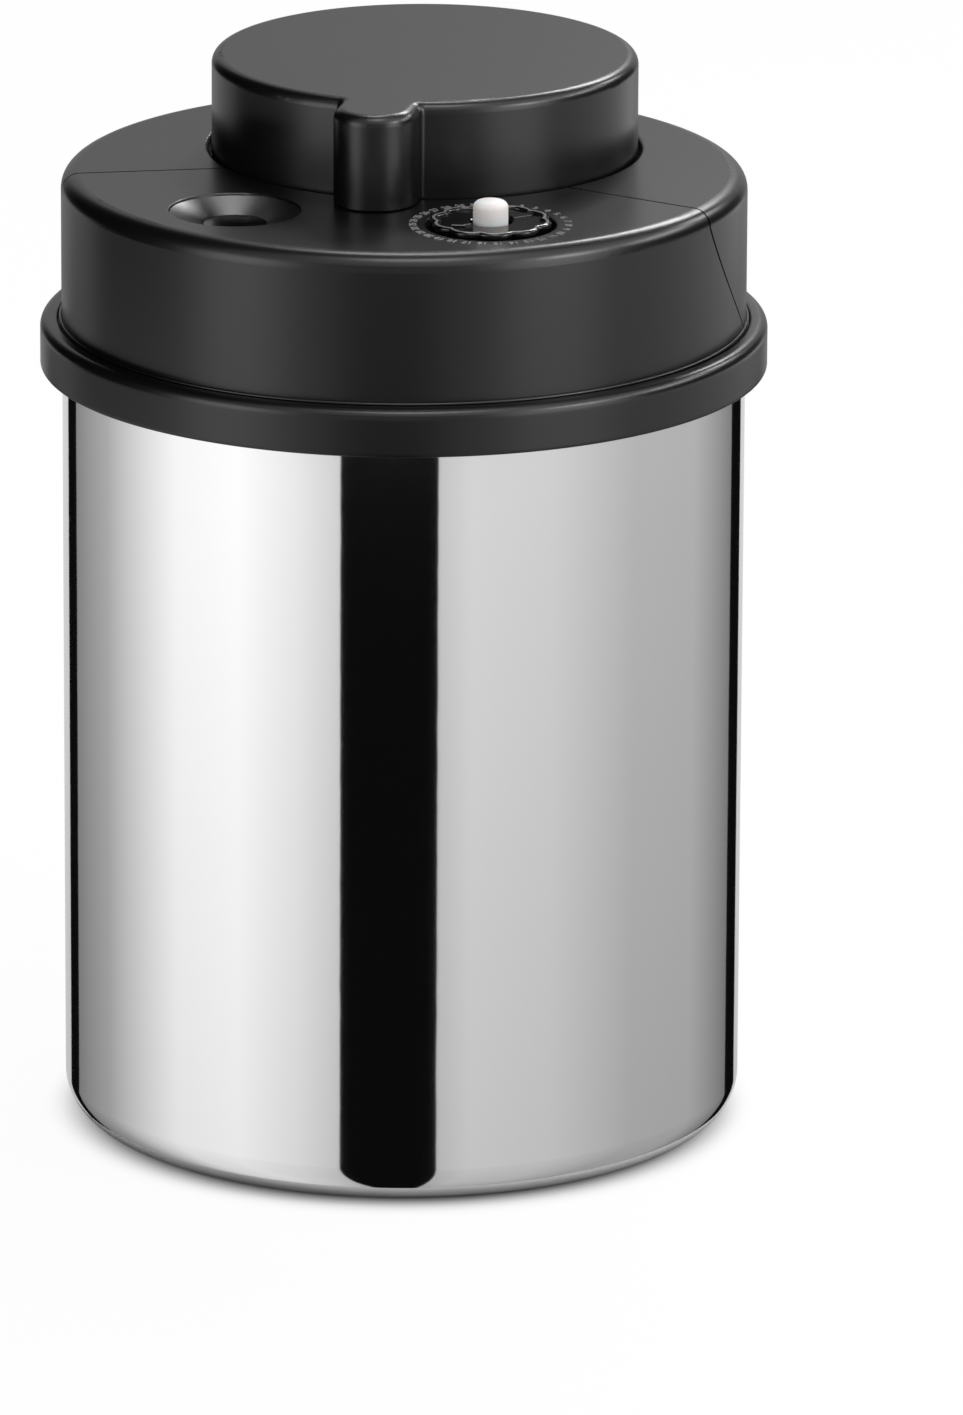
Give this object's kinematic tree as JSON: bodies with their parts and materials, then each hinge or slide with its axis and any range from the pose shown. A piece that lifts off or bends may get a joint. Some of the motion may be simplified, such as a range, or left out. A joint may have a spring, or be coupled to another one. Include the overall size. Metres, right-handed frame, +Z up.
{
  "type": "vacuum seal canister",
  "caption": "Polished steel food canister with a lift-off lid whose turning knob works a hand pump; vacuum indicator, release pin and a date dial in the lid's top.",
  "frame": {"origin": "middle of the base, on the surface that the canister stands on", "axes": "+Z up along the canister's axis; -Y towards the lid's front, where the post, indicator and dial are; +X to the dial's side"},
  "size_m": [0.13, 0.13, 0.192],
  "materials": {
    "polished_steel": "mirror polished",
    "satin_black_plastic": "satin",
    "gloss_black_plastic": "gloss",
    "acetal_plastic": "natural acetal",
    "pump_plastic": "as moulded",
    "black_rubber": "matt",
    "clear_silicone": "translucent",
    "white_silicone": "translucent white",
    "filter_felt": "felt pad",
    "zinc_steel": "plated"
  },
  "bodies": {
    "canister": {"canister_body": "polished_steel"},
    "lid": {"lid_base": "satin_black_plastic", "lid_gasket": "clear_silicone", "front_cover": "satin_black_plastic", "rear_cover": "satin_black_plastic", "pump_cover": "pump_plastic", "pump_cover_screws": "zinc_steel", "knob_glide_ring": "acetal_plastic", "pump_cylinder": "pump_plastic", "cylinder_seal": "black_rubber", "inlet_valve": "clear_silicone", "intake_filter": "filter_felt", "filter_cap": "satin_black_plastic", "indicator_spring": "zinc_steel", "release_spring": "zinc_steel"},
    "knob": {"turn_knob": "satin_black_plastic", "cam_sleeve": "acetal_plastic", "cam_sleeve_screws": "zinc_steel"},
    "pump_piston": {"piston": "acetal_plastic", "piston_seal": "black_rubber", "exhaust_valve": "clear_silicone", "follower_pin": "zinc_steel"},
    "indicator": {"indicator_button": "gloss_black_plastic", "indicator_seal": "black_rubber"},
    "release_valve": {"release_pin": "white_silicone", "release_seal": "black_rubber", "release_clip": "zinc_steel"},
    "dial": {"date_dial": "gloss_black_plastic", "dial_clip": "acetal_plastic"}
  },
  "joints": [
    {"name": "lid_lift", "type": "slide", "parent": "canister", "child": "lid", "axis": [0, 0, 1], "range_m": [0, 0.08]},
    {"name": "knob_turn", "type": "hinge", "parent": "lid", "child": "knob", "pos_m": [0, 0.01742, 0.18], "axis": [0, 0, 1], "range_deg": [-100, 0]},
    {"name": "piston_stroke", "type": "slide", "parent": "lid", "child": "pump_piston", "axis": [0, 0, 1], "range_m": [0, 0.014]},
    {"name": "indicator_dip", "type": "slide", "parent": "lid", "child": "indicator", "axis": [0, 0, -1], "range_m": [0, 0.0025], "stiffness_N_per_m": 300, "springref_m": -0.003, "deforming": ["indicator_spring"]},
    {"name": "release_press", "type": "slide", "parent": "lid", "child": "release_valve", "axis": [0, 0, -1], "range_m": [0, 0.002], "stiffness_N_per_m": 500, "springref_m": -0.002, "deforming": ["release_spring"]},
    {"name": "dial_turn", "type": "hinge", "parent": "lid", "child": "dial", "pos_m": [0.02298, -0.03499, 0.174], "axis": [0, 0, 1], "continuous": true}
  ],
  "couplings": [
    {"joint": "piston_stroke", "follows": "knob_turn", "m_per_rad": -0.0080214}
  ]
}
